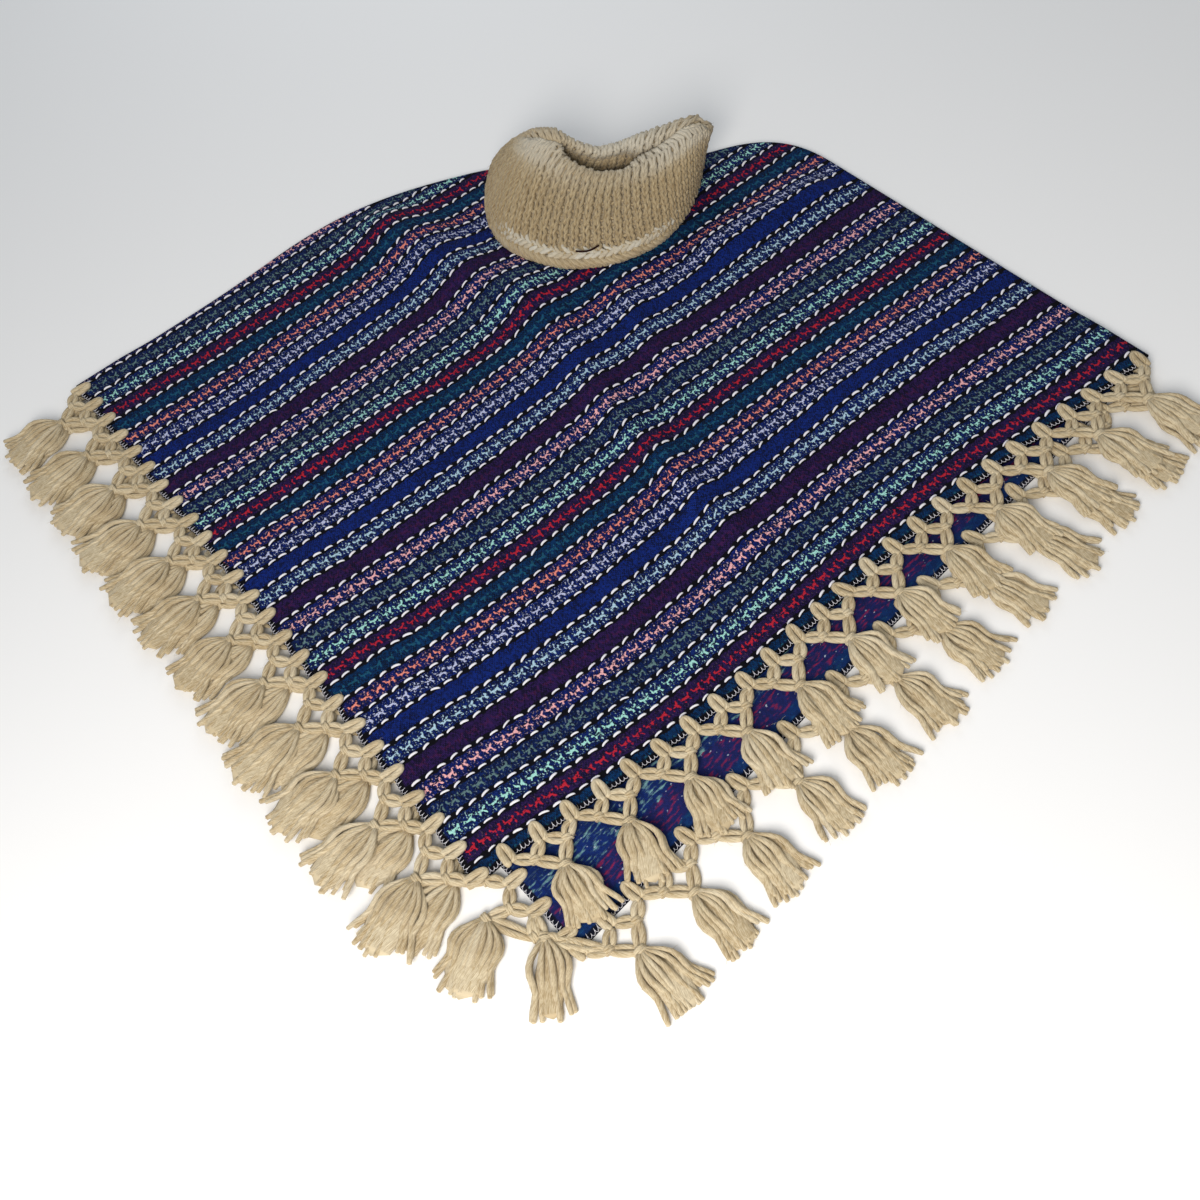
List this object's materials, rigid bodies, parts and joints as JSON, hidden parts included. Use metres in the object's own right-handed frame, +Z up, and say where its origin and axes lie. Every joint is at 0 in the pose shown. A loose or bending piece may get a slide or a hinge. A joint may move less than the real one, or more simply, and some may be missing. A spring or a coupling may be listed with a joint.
{
  "type": "wool poncho with a folded knit collar, laid flat",
  "caption": "Striped woven wool poncho laid flat, with a folded cream knit collar and knotted net fringe with tassels along the hems",
  "frame": {"origin": "on the floor, under the middle of the laid-out poncho's footprint", "axes": "+Z up; the fringed front corner points to -Y, the neck and collar lie towards +Y, and the two shoulder corners lie towards -X and +X"},
  "size_m": [1.309, 1.078, 0.092],
  "materials": {
    "striped_weave": "thick hand-woven wool in blue, teal, purple and speckled stripes, matt",
    "striped_weave_back": "brushed inner face of the same striped wool weave, matt",
    "cream_knit": "chunky undyed wool knit, matt",
    "cream_yarn": "soft two-strand undyed wool yarn, knotted, matt"
  },
  "bodies": {
    "root": {"front_panel": "striped_weave", "back_panel": "striped_weave_back", "collar": "cream_knit", "fringe_front_left": "cream_yarn", "fringe_front_right": "cream_yarn", "fringe_back_left": "cream_yarn", "fringe_back_right": "cream_yarn"}
  },
  "joints": []
}
